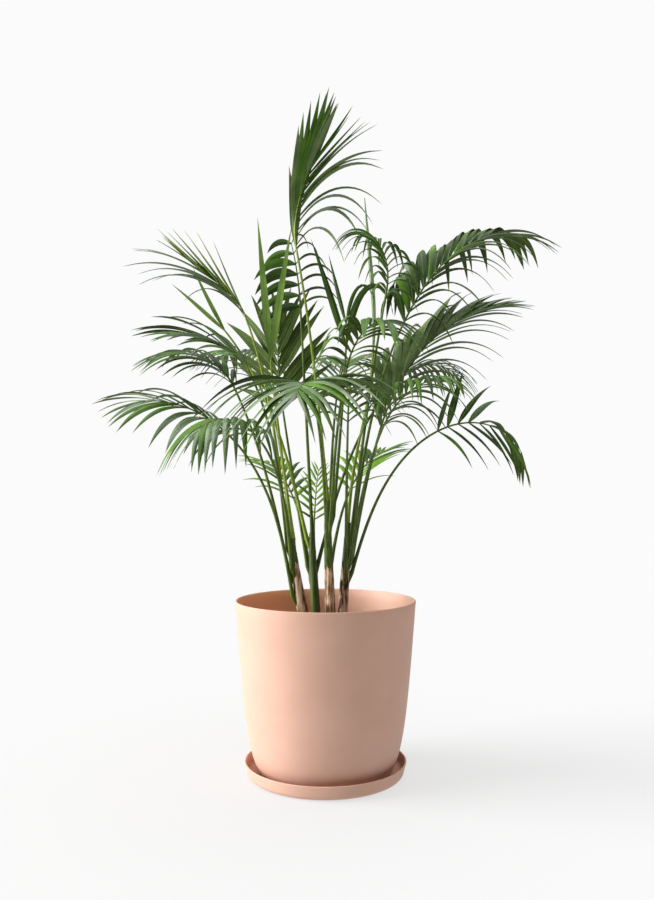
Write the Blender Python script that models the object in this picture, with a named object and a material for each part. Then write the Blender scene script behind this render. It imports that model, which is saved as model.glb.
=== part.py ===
# A potted kentia palm: a clump of four stems with arching feather fronds, in a round pot on its saucer.
# Metres, +Z up. The origin is the centre of the saucer's flat underside, and +Y points to the plant's back.
import math
import random
from collections import namedtuple

import bmesh
import bpy
from mathutils import Vector
from mathutils.bvhtree import BVHTree

# Touching pieces keep this much air between them.
GAP = 0.0003

# Pot, a thin-walled cup with a softly curved foot
POT_HEIGHT = 0.347
POT_RIM_RADIUS = 0.180
POT_FOOT_RADIUS = 0.120
POT_WALL = 0.004
POT_FLOOR = 0.006
POT_LIP = 0.0012
POT_BELLY = ((0.166, 0.165), (0.157, 0.0))
POT_HALVINGS = 40
ROUND_STEPS = 48
HEIGHT_POWER = 1.7

# Saucer
SAUCER_HEIGHT = 0.029
SAUCER_RIM_RADIUS = 0.1613
SAUCER_BASE_RADIUS = 0.145
SAUCER_CORNER = 0.012
SAUCER_WALL = 0.0035
SAUCER_FLOOR = 0.006

# Potting mix
SOIL_TOP = 0.277
SOIL_STEPS = 36

# Fronds: the thickness of the leaf stalk and rib, and the leaflets' shape. A blade that is rolled turns over
# the last stretch of its stalk.
STALK_FOOT_RADIUS = 0.0036
STALK_NECK_RADIUS = 0.0021
RIB_TIP_RADIUS = 0.0009
ROLL_RUN = 0.06
FROND_STEP = 0.004
LEAFLET_ROOT = 0.009
LEAFLET_ROOT_TAPER = 0.4
LEAFLET_THICKNESS = 0.0026
LEAFLET_CLEARANCE = 0.0006
LEAFLET_STEPS = 10
# A leaflet lies as if shut against the rib where the sine of its spread is below this.
LEAFLET_SHUT = 0.35
# A leaflet's width is the least width and a share of its length, and the longest pair stands at the peak.
LEAFLET_LEAST_WIDTH = 0.0088
LEAFLET_WIDTH_SHARE = 0.066
LEAFLET_PEAK = 0.38
LEAFLET_FOOT_LOSS = 0.25
LEAFLET_TIP_LOSS = 0.45
# A leaflet bends down more and more along its length.
DROOP_POWER = 1.3
FIRST_PAIR_RUN = 0.0054
LAST_PAIR_SHARE = 0.98
# Rings of a leaflet past its root: the step of its line, and the share of its full width there
LEAFLET_RINGS = ((3, 1.0), (7, 0.8))
STEM_SIDES = 8
STALK_SIDES = 5

# How far chance turns a leaflet in degrees, and the share by which it changes its droop. A leaflet that
# would touch something tries again, shorter each time, with wider changes.
Chance = namedtuple("Chance", "swing lift droop")
FIRST_TRY = Chance(swing=4, lift=6, droop=0.2)
NEXT_TRY = Chance(swing=12, lift=14, droop=0.4)
LEAFLET_TRIES = 9
LEAFLET_SHRINK = 0.94

# Each stem stands on the potting mix and rises through its fibrous sheath to its green top.
# The places are across, back and up, and the radii go with them.
Stem = namedtuple("Stem", "places radii")
STEMS = {
    "stem_left": Stem(
        places=((-0.036, -0.012, SOIL_TOP + GAP), (-0.061, -0.014, 0.415), (-0.064, -0.014, 0.470)),
        radii=(0.0120, 0.0085, 0.0050),
    ),
    "stem_middle_left": Stem(
        places=((-0.017, 0.022, SOIL_TOP + GAP), (-0.026, 0.024, 0.430), (-0.027, 0.025, 0.480)),
        radii=(0.0095, 0.0075, 0.0050),
    ),
    "stem_middle_right": Stem(
        places=((0.012, -0.020, SOIL_TOP + GAP), (0.006, -0.021, 0.430), (0.004, -0.022, 0.546)),
        radii=(0.0105, 0.0085, 0.0060),
    ),
    "stem_right": Stem(
        places=((0.032, 0.008, SOIL_TOP + GAP), (0.041, 0.010, 0.415), (0.046, 0.012, 0.500)),
        radii=(0.0105, 0.0085, 0.0050),
    ),
}

# A row is the leaflets on one hand of the rib. Its spread is the angle at which they set out from the rib,
# its lift the angle by which they rise above the frond's plane, and its droop how far they bend down, each
# for the first leaflet and the last. Its width is a share of the usual one, and flat is the share by which
# its leaflets lie in the plane of the rib and themselves, and otherwise level.
Row = namedtuple("Row", "spread lift droop width flat")

# A frond leaves its stem at a height, on a heading: 0 is +X, and 90 is +Y. Its lean from upright is given at
# foot, neck, middle and tip, and roll turns its blade about the rib. The stalk, the blade and the longest
# leaflet are lengths.
Frond = namedtuple("Frond", "name stem height heading leans roll stalk blade leaflet pairs right left")
FRONDS = [
    Frond(
        "top", "stem_middle_right", height=0.546, heading=152, leans=(6, 12, -14, -28), roll=-38,
        stalk=0.512, blade=0.17, leaflet=0.225, pairs=12,
        right=Row(spread=(36, 16), lift=(14, 20), droop=(2.3, -0.5), width=0.85, flat=0),
        left=Row(spread=(-3, 1), lift=(0, 2), droop=(0, 0), width=1, flat=0.6),
    ),
    Frond(
        "right_high", "stem_right", height=0.475, heading=18, leans=(8, 27, 48, 92), roll=0,
        stalk=0.45, blade=0.35, leaflet=0.2, pairs=15,
        right=Row(spread=(54, 22), lift=(-10, 5), droop=(2.4, 1), width=0.8, flat=0),
        left=Row(spread=(36, 26), lift=(78, 40), droop=(2.4, 2.2), width=1.25, flat=1),
    ),
    Frond(
        "right_middle", "stem_right", height=0.428, heading=20, leans=(11, 18, 42, 74), roll=0,
        stalk=0.27, blade=0.38, leaflet=0.2, pairs=15,
        right=Row(spread=(50, 14), lift=(-16, -5), droop=(2, 0.5), width=0.9, flat=0),
        left=Row(spread=(24, 4), lift=(80, 40), droop=(1.4, 0.2), width=1.3, flat=0.7),
    ),
    Frond(
        "right_back", "stem_middle_left", height=0.42, heading=24, leans=(16, 44, 80, 124), roll=0,
        stalk=0.42, blade=0.17, leaflet=0.12, pairs=10,
        right=Row(spread=(54, 20), lift=(30, 30), droop=(2.6, 1.6), width=0.9, flat=0.2),
        left=Row(spread=(54, 20), lift=(0, 0), droop=(2.6, 1.6), width=0.7, flat=0.2),
    ),
    Frond(
        "right_low", "stem_right", height=0.4, heading=12, leans=(17, 62, 100, 154), roll=20,
        stalk=0.345, blade=0.22, leaflet=0.14, pairs=9,
        right=Row(spread=(50, 20), lift=(-56, -30), droop=(1.5, 1), width=0.9, flat=0.6),
        left=Row(spread=(54, 24), lift=(84, -70), droop=(0.1, 2), width=1.1, flat=0.9),
    ),
    Frond(
        "right_front", "stem_right", height=0.43, heading=-44, leans=(12, 30, 60, 96), roll=0,
        stalk=0.27, blade=0.18, leaflet=0.13, pairs=10,
        right=Row(spread=(50, 20), lift=(40, 40), droop=(3, 2), width=0.9, flat=0.2),
        left=Row(spread=(52, 20), lift=(0, 0), droop=(2.6, 1.6), width=0.8, flat=0.2),
    ),
    Frond(
        "back_right_high", "stem_right", height=0.485, heading=318, leans=(9, 14, -22, -72), roll=0,
        stalk=0.47, blade=0.15, leaflet=0.13, pairs=11,
        right=Row(spread=(60, 20), lift=(-10, -10), droop=(2.4, 1.6), width=0.7, flat=0),
        left=Row(spread=(60, 22), lift=(-10, -10), droop=(2.4, 1.6), width=0.7, flat=0),
    ),
    Frond(
        "front_centre", "stem_middle_right", height=0.5, heading=300, leans=(6, 22, 66, 112), roll=0,
        stalk=0.3, blade=0.18, leaflet=0.15, pairs=10,
        right=Row(spread=(56, 20), lift=(15, 15), droop=(2.2, 1.6), width=0.95, flat=0.2),
        left=Row(spread=(60, 20), lift=(15, 15), droop=(2.6, 1.6), width=0.95, flat=0.2),
    ),
    Frond(
        "front_low", "stem_middle_right", height=0.44, heading=262, leans=(16, 60, 92, 124), roll=0,
        stalk=0.335, blade=0.18, leaflet=0.23, pairs=12,
        right=Row(spread=(64, 24), lift=(12, 12), droop=(1.8, 1.2), width=0.95, flat=0.5),
        left=Row(spread=(64, 24), lift=(12, 12), droop=(1.6, 1), width=0.95, flat=0.5),
    ),
    Frond(
        "front_right_low", "stem_right", height=0.4, heading=272, leans=(8, 24, 60, 100), roll=0,
        stalk=0.3, blade=0.15, leaflet=0.12, pairs=9,
        right=Row(spread=(50, 20), lift=(15, 15), droop=(1.6, 1), width=1, flat=0.3),
        left=Row(spread=(50, 20), lift=(15, 15), droop=(1.6, 1), width=1, flat=0.3),
    ),
    Frond(
        "back_right", "stem_middle_right", height=0.48, heading=78, leans=(8, 28, 58, 92), roll=0,
        stalk=0.28, blade=0.22, leaflet=0.17, pairs=12,
        right=Row(spread=(50, 20), lift=(20, 20), droop=(1.4, 0.8), width=0.9, flat=0.2),
        left=Row(spread=(50, 20), lift=(20, 20), droop=(1.4, 0.8), width=0.9, flat=0.2),
    ),
    Frond(
        "back_low_right", "stem_middle_right", height=0.43, heading=58, leans=(20, 42, 58, 76), roll=0,
        stalk=0.15, blade=0.17, leaflet=0.13, pairs=9,
        right=Row(spread=(48, 19), lift=(15, 15), droop=(0.7, 0.3), width=1, flat=0.5),
        left=Row(spread=(48, 19), lift=(15, 15), droop=(0.7, 0.3), width=1, flat=0.5),
    ),
    Frond(
        "back_small", "stem_middle_left", height=0.45, heading=80, leans=(6, 14, 24, 40), roll=0,
        stalk=0.05, blade=0.12, leaflet=0.06, pairs=8,
        right=Row(spread=(58, 23), lift=(15, 15), droop=(0.4, 0.2), width=1, flat=0.9),
        left=Row(spread=(58, 23), lift=(15, 15), droop=(0.4, 0.2), width=1, flat=0.9),
    ),
    Frond(
        "back_left", "stem_middle_left", height=0.41, heading=160, leans=(10, 9, 4, -4), roll=90,
        stalk=0.325, blade=0.16, leaflet=0.175, pairs=7,
        right=Row(spread=(54, 14), lift=(10, 10), droop=(0.3, 0.2), width=1.3, flat=1),
        left=Row(spread=(54, 14), lift=(10, 10), droop=(0.3, 0.2), width=1.3, flat=1),
    ),
    Frond(
        "back_low_left", "stem_middle_left", height=0.38, heading=120, leans=(16, 40, 58, 82), roll=0,
        stalk=0.18, blade=0.17, leaflet=0.12, pairs=9,
        right=Row(spread=(48, 19), lift=(15, 15), droop=(0.8, 0.4), width=1, flat=0.5),
        left=Row(spread=(48, 19), lift=(15, 15), droop=(0.8, 0.4), width=1, flat=0.5),
    ),
    Frond(
        "left_back", "stem_left", height=0.425, heading=120, leans=(8, 40, 64, 104), roll=0,
        stalk=0.38, blade=0.26, leaflet=0.18, pairs=12,
        right=Row(spread=(50, 20), lift=(18, 18), droop=(1.6, 0.9), width=0.95, flat=0.3),
        left=Row(spread=(50, 20), lift=(18, 18), droop=(1.6, 0.9), width=0.95, flat=0.3),
    ),
    Frond(
        "left_high", "stem_left", height=0.455, heading=160, leans=(6, 22, 46, 50), roll=0,
        stalk=0.475, blade=0.13, leaflet=0.225, pairs=8,
        right=Row(spread=(2, 1), lift=(-16, 6), droop=(0, 0), width=1.3, flat=1),
        left=Row(spread=(46, 14), lift=(-8, -4), droop=(1.5, 0.2), width=0.95, flat=0.3),
    ),
    Frond(
        "left_high_front", "stem_left", height=0.45, heading=205, leans=(6, 26, 62, 84), roll=0,
        stalk=0.35, blade=0.14, leaflet=0.18, pairs=9,
        right=Row(spread=(44, 16), lift=(35, 20), droop=(1, 0.6), width=0.9, flat=0.5),
        left=Row(spread=(44, 16), lift=(-25, -10), droop=(1, 0.6), width=0.95, flat=0.5),
    ),
    Frond(
        "left_middle", "stem_left", height=0.4, heading=176, leans=(12, 26, 60, 90), roll=0,
        stalk=0.39, blade=0.14, leaflet=0.165, pairs=9,
        right=Row(spread=(46, 20), lift=(24, 14), droop=(1.4, 0.9), width=0.9, flat=0.4),
        left=Row(spread=(50, 24), lift=(-16, -6), droop=(1.6, 0.9), width=0.9, flat=0.4),
    ),
    Frond(
        "left_low", "stem_left", height=0.355, heading=200, leans=(10, 46, 68, 96), roll=-15,
        stalk=0.345, blade=0.18, leaflet=0.17, pairs=8,
        right=Row(spread=(44, 18), lift=(15, 15), droop=(1.2, 0.7), width=0.9, flat=0.5),
        left=Row(spread=(54, 18), lift=(-10, 0), droop=(2.4, 0.6), width=1.05, flat=0.5),
    ),
    Frond(
        "front_left", "stem_left", height=0.415, heading=240, leans=(8, 58, 86, 122), roll=0,
        stalk=0.28, blade=0.18, leaflet=0.18, pairs=9,
        right=Row(spread=(54, 21), lift=(10, 10), droop=(2.6, 2), width=0.9, flat=0.3),
        left=Row(spread=(54, 21), lift=(10, 10), droop=(2.6, 2), width=0.8, flat=0.4),
    ),
    Frond(
        "centre_left", "stem_middle_left", height=0.48, heading=185, leans=(3, 3, 8, 14), roll=-90,
        stalk=0.455, blade=0.135, leaflet=0.11, pairs=6,
        right=Row(spread=(60, 40), lift=(10, 10), droop=(1.8, 3), width=0.6, flat=0.5),
        left=Row(spread=(84, 60), lift=(10, 10), droop=(1.4, 2.2), width=1.8, flat=1),
    ),
    Frond(
        "young_left", "stem_left", height=0.47, heading=180, leans=(8, 6, -14, -8), roll=90,
        stalk=0.35, blade=0.03, leaflet=0.3, pairs=1,
        right=Row(spread=(6.5, 6.5), lift=(0, 0), droop=(0, 0), width=0.6, flat=1),
        left=Row(spread=(6.5, 6.5), lift=(0, 0), droop=(0, 0), width=0.6, flat=1),
    ),
    Frond(
        "young_left_low", "stem_middle_left", height=0.468, heading=178, leans=(13, 38, 44, 46), roll=90,
        stalk=0.452, blade=0.03, leaflet=0.16, pairs=1,
        right=Row(spread=(8, 8), lift=(0, 0), droop=(0, 0), width=0.55, flat=1),
        left=Row(spread=(8, 8), lift=(0, 0), droop=(0, 0), width=0.55, flat=1),
    ),
    Frond(
        "centre_right", "stem_middle_right", height=0.515, heading=0, leans=(5, 3, 0, 0), roll=90,
        stalk=0.33, blade=0.05, leaflet=0.26, pairs=2,
        right=Row(spread=(4, 8), lift=(0, 0), droop=(1.4, 1.4), width=0.6, flat=1),
        left=Row(spread=(18, 12), lift=(0, 0), droop=(0.1, 0.1), width=0.6, flat=1),
    ),
]

# The youngest leaf is still folded shut: a slender spindle on its stalk, on top of the right stem. Its leans
# go with the runs from its foot.
SPEAR_RUNS = (0.0, 0.18, 0.33, 0.48, 0.66)
SPEAR_LEANS = (3, 13, 5, -5, -5)
SPEAR_STALK = 0.36
SPEAR_BLADE = 0.30
SPEAR_RADIUS = 0.0045
# The blade swells and narrows as half a turn of a sine does, between these shares of it.
SPEAR_SWELL = (0.2, 0.95)
SPEAR_STEP = 0.03
SPEAR_SIDES = 6


def clear_scene():
    for item in list(bpy.data.objects):
        bpy.data.objects.remove(item, do_unlink=True)


def make_material(name, colour, roughness):
    material = bpy.data.materials.new(name)
    material.use_nodes = True
    shader = material.node_tree.nodes["Principled BSDF"]
    shader.inputs["Base Color"].default_value = (*colour, 1.0)
    shader.inputs["Roughness"].default_value = roughness
    shader.inputs["Metallic"].default_value = 0.0
    return material


def add_object(name, mesh, material=None):
    item = bpy.data.objects.new(name, mesh)
    bpy.context.scene.collection.objects.link(item)
    if material:
        mesh.materials.append(material)
    return item


def build_mesh(name, corners, faces):
    mesh = bpy.data.meshes.new(name)
    mesh.from_pydata(corners, [], faces)
    mesh.update()
    return mesh


# Round pieces are turned about the upright axis from an outline of radii and heights, axis to axis.
def turn_outline(name, outline, steps, material):
    turned = bmesh.new()
    corners = [turned.verts.new((radius, 0.0, height)) for radius, height in outline]
    edges = [turned.edges.new(pair) for pair in zip(corners, corners[1:])]
    bmesh.ops.spin(
        turned,
        geom=corners + edges,
        cent=(0, 0, 0),
        axis=(0, 0, 1),
        dvec=(0, 0, 0),
        angle=math.tau,
        steps=steps,
        use_merge=True,
    )
    bmesh.ops.remove_doubles(turned, verts=turned.verts, dist=1e-6)
    bmesh.ops.recalc_face_normals(turned, faces=turned.faces)
    mesh = bpy.data.meshes.new(name)
    turned.to_mesh(mesh)
    turned.free()
    mesh.shade_smooth()
    mesh.set_sharp_from_angle(angle=math.radians(40))
    return add_object(name, mesh, material)


def between(runs, values, run):
    # The value at a run, read straight between the given ones
    for low, high, low_value, high_value in zip(runs, runs[1:], values, values[1:]):
        if run <= high:
            return low_value + (high_value - low_value) * (run - low) / (high - low)
    return values[-1]


def curve_point(share, ends):
    # A cubic curve through its first and last point, drawn towards the two between them
    low = 1.0 - share
    weights = (low**3, 3 * low * low * share, 3 * low * share * share, share**3)
    return tuple(sum(weight * end[axis] for weight, end in zip(weights, ends)) for axis in (0, 1))


def pot_radius(height):
    # The outer radius of the pot's side, found by halving along the side's curve
    seat = SAUCER_FLOOR + GAP
    rim = (POT_RIM_RADIUS, POT_HEIGHT - POT_LIP)
    ends = (rim, POT_BELLY[0], (POT_BELLY[1][0], seat), (POT_FOOT_RADIUS, seat))
    low, high = 0.0, 1.0
    for _ in range(POT_HALVINGS):
        middle = (low + high) / 2
        if curve_point(middle, ends)[1] > height:
            low = middle
        else:
            high = middle
    return curve_point(low, ends)[0]


def spaced(bottom, top, count):
    # Heights from bottom to top, closer together near the bottom, where the side curves most
    return [bottom + (top - bottom) * (index / count) ** HEIGHT_POWER for index in range(count + 1)]


def make_pot(material):
    seat = SAUCER_FLOOR + GAP
    outside = [(pot_radius(height), height) for height in spaced(seat, POT_HEIGHT - POT_LIP, 9)]
    lip = [
        (POT_RIM_RADIUS - POT_LIP, POT_HEIGHT),
        (POT_RIM_RADIUS - POT_WALL + POT_LIP, POT_HEIGHT),
    ]
    inside = [
        (pot_radius(height) - POT_WALL, height)
        for height in spaced(seat + POT_FLOOR, POT_HEIGHT - POT_LIP, 6)
    ]
    outline = [(0.0, seat)] + outside + lip + inside[::-1] + [(0.0, seat + POT_FLOOR)]
    return turn_outline("pot", outline, ROUND_STEPS, material)


def make_saucer(material):
    # A flat floor, a rounded corner and a low side with a rounded rim
    angles = [math.radians(30 * index) for index in range(4)]
    bend = SAUCER_CORNER - SAUCER_WALL
    outside = [
        (SAUCER_BASE_RADIUS + SAUCER_CORNER * math.sin(angle), SAUCER_CORNER * (1 - math.cos(angle)))
        for angle in angles
    ]
    inside = [
        (SAUCER_BASE_RADIUS + bend * math.sin(angle), SAUCER_FLOOR + bend * (1 - math.cos(angle)))
        for angle in angles
    ]
    rim = [
        (SAUCER_RIM_RADIUS, SAUCER_HEIGHT - POT_LIP),
        (SAUCER_RIM_RADIUS - SAUCER_WALL / 2, SAUCER_HEIGHT),
        (SAUCER_RIM_RADIUS - SAUCER_WALL, SAUCER_HEIGHT - POT_LIP),
    ]
    outline = [(0.0, 0.0)] + outside + rim + inside[::-1] + [(0.0, SAUCER_FLOOR)]
    return turn_outline("saucer", outline, ROUND_STEPS, material)


def make_soil(material):
    bottom = SAUCER_FLOOR + GAP + POT_FLOOR + GAP
    side = [(pot_radius(height) - POT_WALL - 4 * GAP, height) for height in spaced(bottom, SOIL_TOP, 5)]
    outline = [(0.0, bottom)] + side + [(0.0, SOIL_TOP)]
    return turn_outline("soil", outline, SOIL_STEPS, material)


# Limbs are tapering tubes along a line of places. An end that meets another limb or the mix is cut level.
def tube_data(places, radii, sides, level_foot=False, level_top=False):
    corners = []
    faces = []
    across = None
    for index, place in enumerate(places):
        ahead = places[min(index + 1, len(places) - 1)] - places[max(index - 1, 0)]
        ahead.normalize()
        if across is None:
            across = ahead.orthogonal()
        across = (across - ahead * across.dot(ahead)).normalized()
        over = ahead.cross(across)
        for side in range(sides):
            angle = math.tau * side / sides
            corners.append(place + radii[index] * (across * math.cos(angle) + over * math.sin(angle)))
    if level_foot:
        for corner in corners[:sides]:
            corner.z = places[0].z
    if level_top:
        for corner in corners[-sides:]:
            corner.z = places[-1].z
    for index in range(len(places) - 1):
        for side in range(sides):
            near = index * sides
            far = near + sides
            after = (side + 1) % sides
            faces.append((near + side, near + after, far + after, far + side))
    faces.append(tuple(reversed(range(sides))))
    faces.append(tuple(range(len(corners) - sides, len(corners))))
    return corners, faces


def make_tube(name, places, radii, sides, material, level_foot=False, level_top=False):
    mesh = build_mesh(name, *tube_data(places, radii, sides, level_foot, level_top))
    mesh.shade_smooth()
    mesh.set_sharp_from_angle(angle=math.radians(60))
    return add_object(name, mesh, material)


def stem_line(stem, count):
    # The stem's places and radii, read from a smooth curve through its three given places
    foot, shoulder, top = (Vector(place) for place in stem.places)
    places = []
    radii = []
    for index in range(count + 1):
        share = index / count
        weights = ((1 - share) * (1 - 2 * share), 4 * share * (1 - share), share * (2 * share - 1))
        places.append(foot * weights[0] + shoulder * weights[1] + top * weights[2])
        radii.append(sum(weight * radius for weight, radius in zip(weights, stem.radii)))
    return places, radii


def stem_at(stem, height):
    # The middle and radius of the stem at a height
    places, radii = stem_line(stem, 24)
    for low, high, low_radius, high_radius in zip(places, places[1:], radii, radii[1:]):
        if height <= high.z:
            share = (height - low.z) / (high.z - low.z)
            return low.lerp(high, share), low_radius + (high_radius - low_radius) * share
    return places[-1], radii[-1]


def lean_at(frond, run):
    foot, neck, middle, tip = frond.leans
    if run < frond.stalk:
        return foot + (neck - foot) * (run / frond.stalk) ** 2
    share = (run - frond.stalk) / frond.blade
    return neck + (4 * middle - 3 * neck - tip) * share + 2 * (neck + tip - 2 * middle) * share * share


def frame_at(frond, run):
    # The way ahead, the upper side and the right-hand side of the frond after a run along it
    heading = math.radians(frond.heading)
    lean = math.radians(lean_at(frond, run))
    out = Vector((math.cos(heading), math.sin(heading), 0.0))
    up = Vector((0.0, 0.0, 1.0))
    ahead = out * math.sin(lean) + up * math.cos(lean)
    over = up * math.sin(lean) - out * math.cos(lean)
    side = ahead.cross(over)
    roll = math.radians(frond.roll) * min(1.0, max(0.0, run - frond.stalk + ROLL_RUN) / ROLL_RUN)
    return ahead, over * math.cos(roll) + side * math.sin(roll), side * math.cos(roll) - over * math.sin(roll)


def on_top(frond):
    # Whether the frond stands on top of its stem and not beside it
    return frond.height >= STEMS[frond.stem].places[-1][2]


def frond_places(frond, runs):
    # The places along the frond's line at the given runs, summed in short steps from its foot on the stem
    middle, radius = stem_at(STEMS[frond.stem], frond.height)
    heading = math.radians(frond.heading)
    beside = Vector((math.cos(heading), math.sin(heading), 0.0)) * (radius + STALK_FOOT_RADIUS + 3 * GAP)
    place = middle + (Vector((0.0, 0.0, GAP)) if on_top(frond) else beside)
    found = []
    run = 0.0
    for target in runs:
        while run < target:
            length = min(FROND_STEP, target - run)
            place = place + frame_at(frond, run + length / 2)[0] * length
            run += length
        found.append(place.copy())
    return found


def even_runs(start, end, count):
    return [start + (end - start) * index / max(count, 1) for index in range(count + 1)]


def stalk_data(frond):
    runs = even_runs(0.0, frond.stalk, 7)
    radii = [STALK_FOOT_RADIUS + (STALK_NECK_RADIUS - STALK_FOOT_RADIUS) * run / frond.stalk for run in runs]
    return frond_places(frond, runs), radii


def rib_pairs(frond):
    # The runs at which the pairs of leaflets stand on the rib
    start = frond.stalk + FIRST_PAIR_RUN
    return even_runs(start, frond.stalk + frond.blade * LAST_PAIR_SHARE, frond.pairs - 1)


def rib_data(frond):
    # A three-sided rib with a ring on each side of every pair of leaflets. Its corners are its ridge, right
    # and left, in that order round each ring.
    down = math.sin(math.radians(30))
    out = math.cos(math.radians(30))
    runs = [frond.stalk + GAP]
    for run in rib_pairs(frond):
        half = LEAFLET_ROOT / 2 * (1.0 - LEAFLET_ROOT_TAPER * (run - frond.stalk) / frond.blade)
        runs += [run - half, run + half]
    corners = []
    faces = []
    for run, place in zip(runs, frond_places(frond, runs)):
        ahead, over, side = frame_at(frond, run)
        radius = STALK_NECK_RADIUS + (RIB_TIP_RADIUS - STALK_NECK_RADIUS) * (run - frond.stalk) / frond.blade
        low = place - over * radius * down
        corners += [place + over * radius, low + side * radius * out, low - side * radius * out]
    for near in range(0, len(corners) - 3, 3):
        far = near + 3
        faces += [(near + side, near + (side + 1) % 3, far + (side + 1) % 3, far + side) for side in range(3)]
    faces += [(2, 1, 0), (len(corners) - 3, len(corners) - 2, len(corners) - 1)]
    return corners, faces


# Leaflets stand in pairs along the rib, longest before its middle.
def leaflet_length(frond, share):
    if share < LEAFLET_PEAK:
        return frond.leaflet * (1.0 - LEAFLET_FOOT_LOSS * ((LEAFLET_PEAK - share) / LEAFLET_PEAK) ** 2)
    return frond.leaflet * (1.0 - LEAFLET_TIP_LOSS * ((share - LEAFLET_PEAK) / (1.0 - LEAFLET_PEAK)) ** 2)


def leaflet_start(frond, run, hand, spread, lift):
    # The way a leaflet sets out, away from the rib to one hand, forward and up, and the way its inner edge
    # faces: along the rib, or to the rib where the leaflet is nearly shut against it
    ahead, over, side = frame_at(frond, run)
    out = math.sin(math.radians(spread))
    rise = math.radians(lift)
    away = side * hand * math.cos(rise) + over * math.sin(rise)
    start = ahead * math.sqrt(1.0 - out**2) + away * out
    return start, ahead - away * max(0.0, 1.0 - out / LEAFLET_SHUT)


def leaflet_line(root, start, length, droop):
    # The leaflet's line in short steps, which bends down more and more towards its tip
    down = Vector((0.0, 0.0, -1.0))
    line = [root.copy()]
    ways = [start.normalized()]
    for index in range(LEAFLET_STEPS):
        way = (start + down * droop * ((index + 0.5) / LEAFLET_STEPS) ** DROOP_POWER).normalized()
        line.append(line[-1] + way * (length / LEAFLET_STEPS))
        ways.append(way)
    return line, ways


def leaflet_corners(hand, row, start, edge, length, width, droop, root, spare):
    # The corners past the root: the rings of the blade and its tip. Each ring goes round from upper back
    # to lower back, lower front and upper front, as the rib's face at the root does.
    level = Vector((0.0, 0.0, 1.0)).cross(start).normalized()
    if level.dot(edge) < 0:
        level = -level
    line, ways = leaflet_line(root, start, length, droop)
    corners = []
    for index, part in LEAFLET_RINGS:
        inside = (edge - ways[index] * edge.dot(ways[index])).normalized()
        flat = inside * row.flat + level * (1.0 - row.flat)
        flat = (flat - ways[index] * flat.dot(ways[index])).normalized()
        over = ways[index].cross(flat) * hand
        half = flat * (width * part / 2 + spare)
        high = over * (LEAFLET_THICKNESS / 2 + spare)
        place = line[index]
        corners += [place - half + high, place - half - high, place + half - high, place + half + high]
    corners.append(line[-1] + ways[-1] * spare)
    return corners


def leaflet_faces(root, first):
    # The faces from the four root corners through the rings to the tip, where first is the next free corner
    faces = []
    near = list(root)
    for ring in range(len(LEAFLET_RINGS)):
        far = [first + 4 * ring + corner for corner in range(4)]
        faces += [(near[side], near[(side + 1) % 4], far[(side + 1) % 4], far[side]) for side in range(4)]
        near = far
    tip = first + 4 * len(LEAFLET_RINGS)
    return faces + [(near[side], near[(side + 1) % 4], tip) for side in range(4)]


class Space:
    # What already stands in the crown, kept as bounds and surface trees under the name and part of its piece
    def __init__(self):
        self.pieces = []

    def add(self, name, part, corners, faces):
        low, high = bounds(corners)
        self.pieces.append((name, part, low, high, BVHTree.FromPolygons(corners, faces)))

    def touched(self, own, part, corners, faces):
        # Whether the shape meets anything but the part of its own piece that it belongs to, or its own rib
        low, high = bounds(corners)
        tree = BVHTree.FromPolygons(corners, faces)
        for name, other_part, other_low, other_high, other in self.pieces:
            if name == own and other_part in (part, "rib"):
                continue
            if any(low[axis] > other_high[axis] or high[axis] < other_low[axis] for axis in range(3)):
                continue
            if tree.overlap(other):
                return True
        return False


def bounds(corners):
    low = [min(corner[axis] for corner in corners) for axis in range(3)]
    high = [max(corner[axis] for corner in corners) for axis in range(3)]
    return low, high


def vary(chance, limits, row, share):
    # A spread, a lift and a droop for a leaflet at this share of the blade, within the limits
    spread, lift, droop = (
        first + (last - first) * share for first, last in (row.spread, row.lift, row.droop)
    )
    spread += chance.uniform(-limits.swing, limits.swing)
    lift += chance.uniform(-limits.lift, limits.lift)
    return spread, lift, droop * chance.uniform(1.0 - limits.droop, 1.0 + limits.droop)


def grow_frond(frond, space, seed):
    # The rib's faces at each pair give way to leaflets that touch nothing else in the crown
    chance = random.Random(seed)
    corners, faces = rib_data(frond)
    rib_tree = BVHTree.FromPolygons(corners, faces)
    taken = set()
    grown = []
    twins = {}
    for hand, row in ((1, frond.right), (-1, frond.left)):
        for pair, run in enumerate(rib_pairs(frond)):
            share = (run - frond.stalk) / frond.blade
            near = 3 + 6 * pair
            low = 1 if hand == 1 else 2
            root = (near, near + low, near + 3 + low, near + 3)
            middle = sum((corners[corner] for corner in root), Vector()) / 4
            length = leaflet_length(frond, share)
            spread, lift, droop = vary(chance, FIRST_TRY, row, share)
            for _ in range(LEAFLET_TRIES):
                start, edge = leaflet_start(frond, run, hand, spread, lift)
                width = (LEAFLET_LEAST_WIDTH + LEAFLET_WIDTH_SHARE * length) * row.width
                shape = (hand, row, start, edge, length, width, droop, middle)
                blade = leaflet_corners(*shape, 0.0)
                padded = leaflet_corners(*shape, LEAFLET_CLEARANCE)
                own_root = [corners[corner] for corner in root]
                local = leaflet_faces((0, 1, 2, 3), 4)
                outer = [face for face in local if min(face) > 3]
                tree = BVHTree.FromPolygons(own_root + padded, outer)
                meets_own = tree.overlap(rib_tree) or (pair in twins and tree.overlap(twins[pair]))
                if not meets_own and not space.touched(frond.name, pair, own_root + padded, local):
                    twins[pair] = BVHTree.FromPolygons(own_root + blade, outer)
                    space.add(frond.name, pair, own_root + blade, local)
                    grown.append((root, blade))
                    taken.add(frozenset(root))
                    break
                spread, lift, droop = vary(chance, NEXT_TRY, row, share)
                length *= LEAFLET_SHRINK
    faces = [face for face in faces if frozenset(face) not in taken]
    for root, blade in grown:
        faces += leaflet_faces(root, len(corners))
        corners += blade
    return corners, faces


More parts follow.
